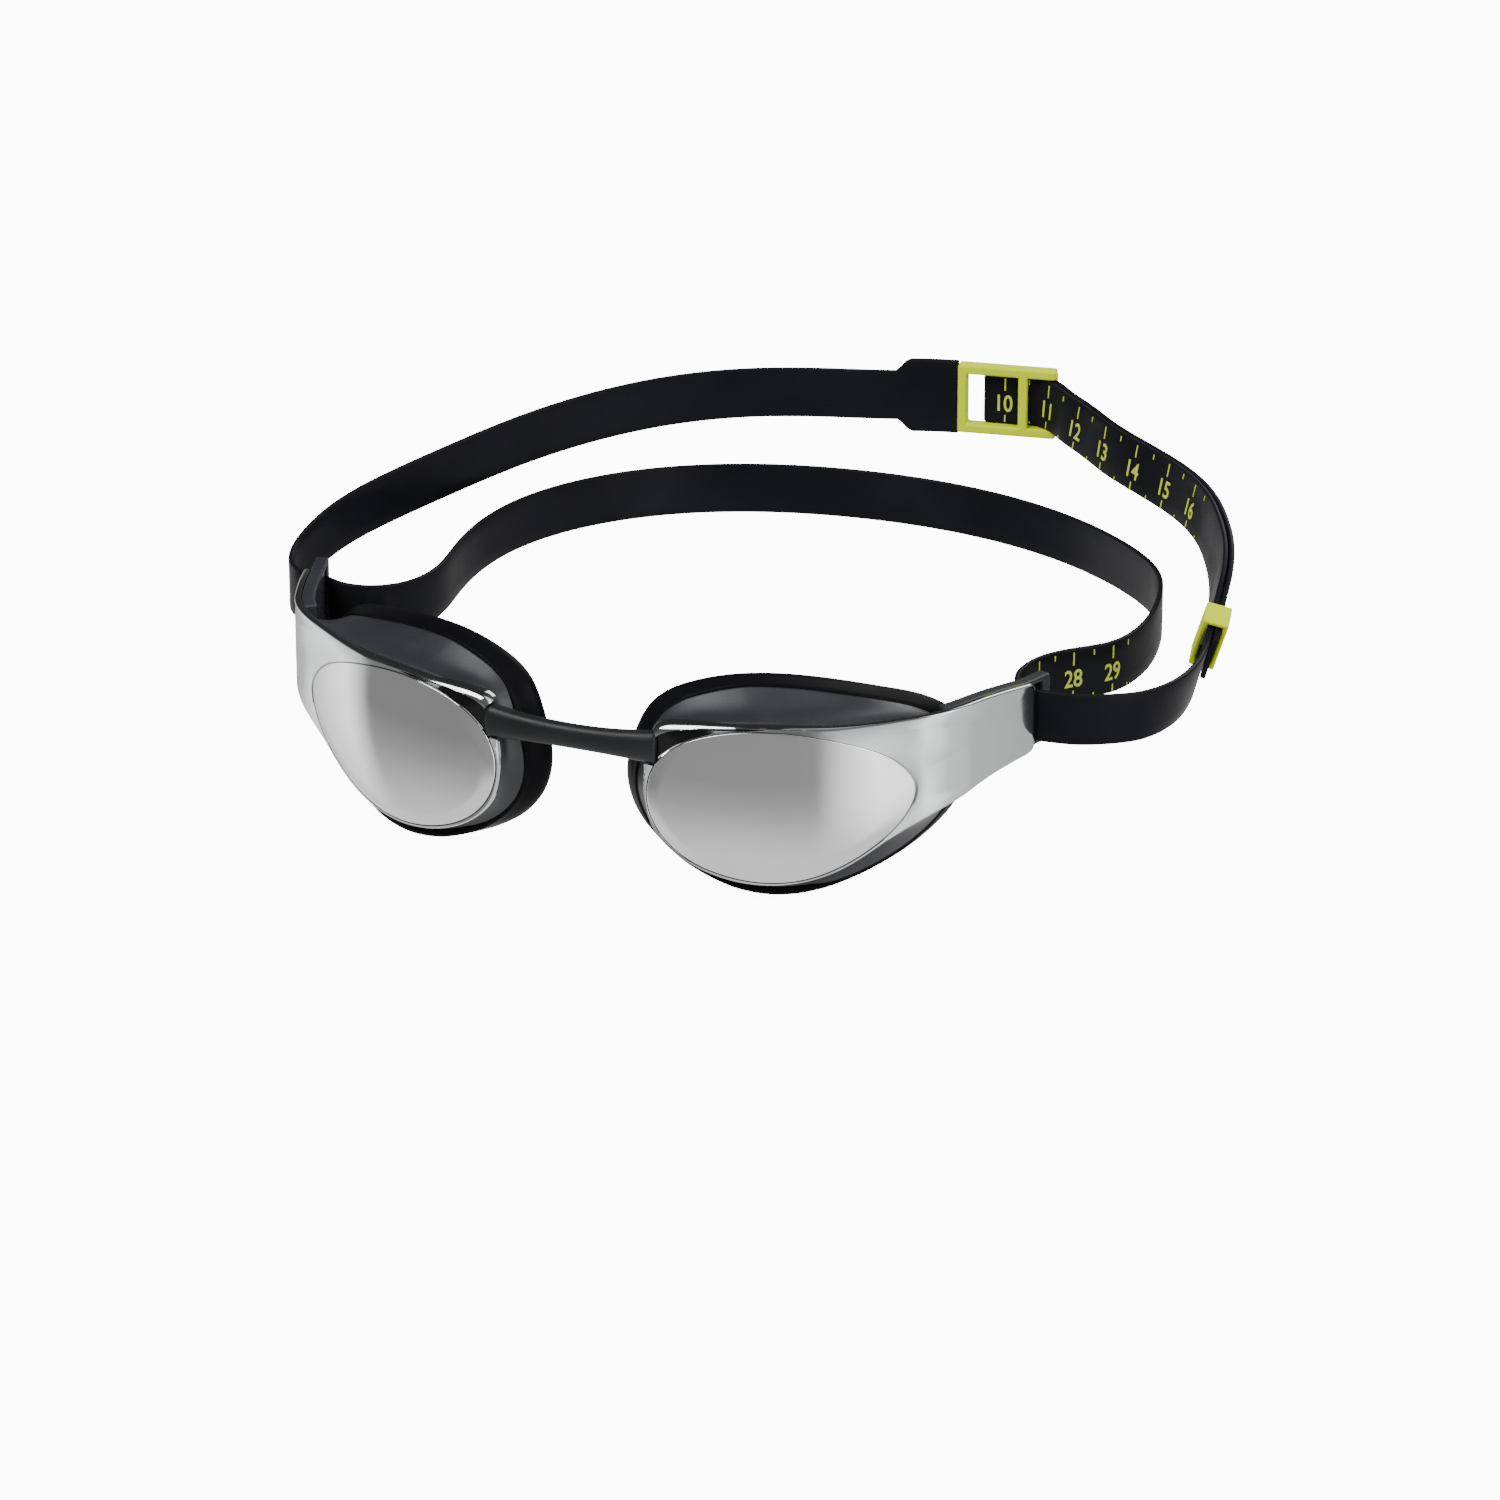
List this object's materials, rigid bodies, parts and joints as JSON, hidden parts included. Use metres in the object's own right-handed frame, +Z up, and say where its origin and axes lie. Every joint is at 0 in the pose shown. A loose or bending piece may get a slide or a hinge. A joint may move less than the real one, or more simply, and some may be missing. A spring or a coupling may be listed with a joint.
{
  "type": "swim goggles",
  "caption": "Low-profile racing swim goggles with mirrored domed lenses, a rubber nose bridge, face seals and one long flat strap run as a split loop with buckle and keeper.",
  "frame": {"origin": "bottom centre of the whole object as it stands on its seals and lower strap", "axes": "+X towards the wearer's left, -Y the way the wearer looks, +Z up"},
  "size_m": [0.2134, 0.1768, 0.0671],
  "materials": {
    "mirror_lens": "mirror coated clear plastic",
    "silver_plate": "silver coated plastic, gloss",
    "dark_plastic": "satin dark grey moulded plastic",
    "seal_rubber": "soft satin rubber",
    "strap_rubber": "semi-gloss silicone rubber",
    "clip_plastic": "yellow-green moulded plastic"
  },
  "bodies": {
    "front": {"nose_bridge": "dark_plastic", "lens_left": "mirror_lens", "lens_right": "mirror_lens", "side_plate_left": "silver_plate", "side_plate_right": "silver_plate", "arm_backing_left": "dark_plastic", "arm_backing_right": "dark_plastic", "eyecup_left": "dark_plastic", "eyecup_right": "dark_plastic", "face_seal_left": "seal_rubber", "face_seal_right": "seal_rubber", "bridge_socket_left": "dark_plastic", "bridge_socket_right": "dark_plastic", "strap_slot_turn_left": "strap_rubber", "strap_slot_turn_right": "strap_rubber"},
    "upper_loop": {"strap_outer_run_left": "strap_rubber", "strap_keeper_run": "strap_rubber", "strap_scale_run": "strap_rubber", "strap_upper_right": "strap_rubber", "strap_upper_rear": "strap_rubber", "strap_end_tab": "strap_rubber", "strap_tail_keeper_end": "strap_rubber", "strap_tail": "strap_rubber", "strap_buckle_fold": "strap_rubber", "strap_buckle": "clip_plastic"},
    "lower_loop": {"strap_lower_right": "strap_rubber", "strap_lower_rear": "strap_rubber", "strap_lower_left": "strap_rubber"},
    "keeper": {"strap_keeper": "clip_plastic"}
  },
  "joints": [
    {"name": "upper_loop_swing", "type": "hinge", "parent": "front", "child": "upper_loop", "pos_m": [-0.00908, -0.03464, 0.0336], "axis": [1, 0, 0], "range_deg": [-2.5, 45]},
    {"name": "lower_loop_swing", "type": "hinge", "parent": "front", "child": "lower_loop", "pos_m": [-0.00908, -0.03464, 0.0336], "axis": [1, 0, 0], "range_deg": [-45, 1.5]},
    {"name": "keeper_slide", "type": "slide", "parent": "upper_loop", "child": "keeper", "axis": [-0.1683, 0.906, 0.3883], "range_m": [-0.005, 0.008]}
  ]
}
